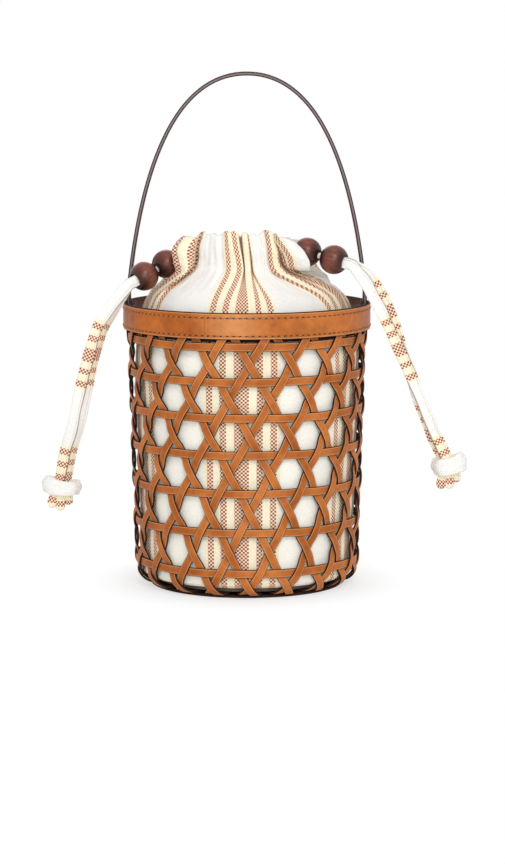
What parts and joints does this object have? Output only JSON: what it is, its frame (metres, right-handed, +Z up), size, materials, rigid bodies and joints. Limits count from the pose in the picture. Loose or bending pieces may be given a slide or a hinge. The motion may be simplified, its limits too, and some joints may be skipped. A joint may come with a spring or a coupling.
{
  "type": "bucket bag",
  "caption": "Round basket bag woven from leather strips, with a stitched rim, a top handle and a drawstring canvas pouch inside, tied with beaded cords.",
  "frame": {"origin": "middle of the underside of the base cover, which the bag stands on", "axes": "+Z up along the basket's axis, -Y out of the front, +X to the right of the front"},
  "size_m": [0.3001, 0.178, 0.3691],
  "materials": {
    "tan_leather": "smooth vegetable-tanned",
    "dark_leather": "matte",
    "striped_canvas": "woven",
    "walnut": "waxed",
    "board": "raw fibreboard"
  },
  "bodies": {
    "bag": {"hoop_1": "tan_leather", "hoop_2": "tan_leather", "hoop_3": "tan_leather", "hoop_4": "tan_leather", "hoop_5": "tan_leather", "hoop_6": "tan_leather", "hoop_7": "tan_leather", "strip_right_01": "tan_leather", "strip_right_02": "tan_leather", "strip_right_03": "tan_leather", "strip_right_04": "tan_leather", "strip_right_05": "tan_leather", "strip_right_06": "tan_leather", "strip_right_07": "tan_leather", "strip_right_08": "tan_leather", "strip_right_09": "tan_leather", "strip_right_10": "tan_leather", "strip_right_11": "tan_leather", "strip_right_12": "tan_leather", "strip_right_13": "tan_leather", "strip_right_14": "tan_leather", "strip_right_15": "tan_leather", "strip_right_16": "tan_leather", "strip_right_17": "tan_leather", "strip_right_18": "tan_leather", "strip_left_01": "tan_leather", "strip_left_02": "tan_leather", "strip_left_03": "tan_leather", "strip_left_04": "tan_leather", "strip_left_05": "tan_leather", "strip_left_06": "tan_leather", "strip_left_07": "tan_leather", "strip_left_08": "tan_leather", "strip_left_09": "tan_leather", "strip_left_10": "tan_leather", "strip_left_11": "tan_leather", "strip_left_12": "tan_leather", "strip_left_13": "tan_leather", "strip_left_14": "tan_leather", "strip_left_15": "tan_leather", "strip_left_16": "tan_leather", "strip_left_17": "tan_leather", "strip_left_18": "tan_leather", "rim_band": "tan_leather", "rim_facing": "dark_leather", "rim_core": "dark_leather", "base_cover": "dark_leather", "base_board": "board", "handle_tab_left": "tan_leather", "handle_tab_right": "tan_leather", "pouch": "striped_canvas"},
    "handle": {"handle_strap": "tan_leather"},
    "drawstring_left": {"drawstring_left": "striped_canvas", "knot_left": "striped_canvas"},
    "bead_left_inner": {"bead_left_inner": "walnut"},
    "bead_left_outer": {"bead_left_outer": "walnut"},
    "drawstring_right": {"drawstring_right": "striped_canvas", "knot_right": "striped_canvas"},
    "bead_right_inner": {"bead_right_inner": "walnut"},
    "bead_right_outer": {"bead_right_outer": "walnut"}
  },
  "joints": [
    {"name": "handle_swing", "type": "hinge", "parent": "bag", "child": "handle", "pos_m": [0, 0, 0.2138], "axis": [1, 0, 0], "range_deg": [-35, 35], "stiffness_Nm_per_rad": 0.08},
    {"name": "drawstring_left_pull", "type": "slide", "parent": "bag", "child": "drawstring_left", "axis": [-0.7352, -0.5682, -0.3697], "range_m": [0, 0.008]},
    {"name": "bead_left_outer_slide", "type": "slide", "parent": "bag", "child": "bead_left_outer", "axis": [-0.7352, -0.5682, -0.3697], "range_m": [0, 0.004]},
    {"name": "bead_left_inner_slide", "type": "slide", "parent": "bag", "child": "bead_left_inner", "axis": [-0.7352, -0.5682, -0.3697], "range_m": [0, 0.004]},
    {"name": "drawstring_right_pull", "type": "slide", "parent": "bag", "child": "drawstring_right", "axis": [0.8936, -0.3885, -0.225], "range_m": [0, 0.008]},
    {"name": "bead_right_outer_slide", "type": "slide", "parent": "bag", "child": "bead_right_outer", "axis": [0.8936, -0.3885, -0.225], "range_m": [0, 0.004]},
    {"name": "bead_right_inner_slide", "type": "slide", "parent": "bag", "child": "bead_right_inner", "axis": [0.8936, -0.3885, -0.225], "range_m": [0, 0.004]}
  ],
  "couplings": [
    {"joint": "bead_left_inner_slide", "follows": "bead_left_outer_slide", "ratio": 1},
    {"joint": "bead_right_inner_slide", "follows": "bead_right_outer_slide", "ratio": 1}
  ]
}
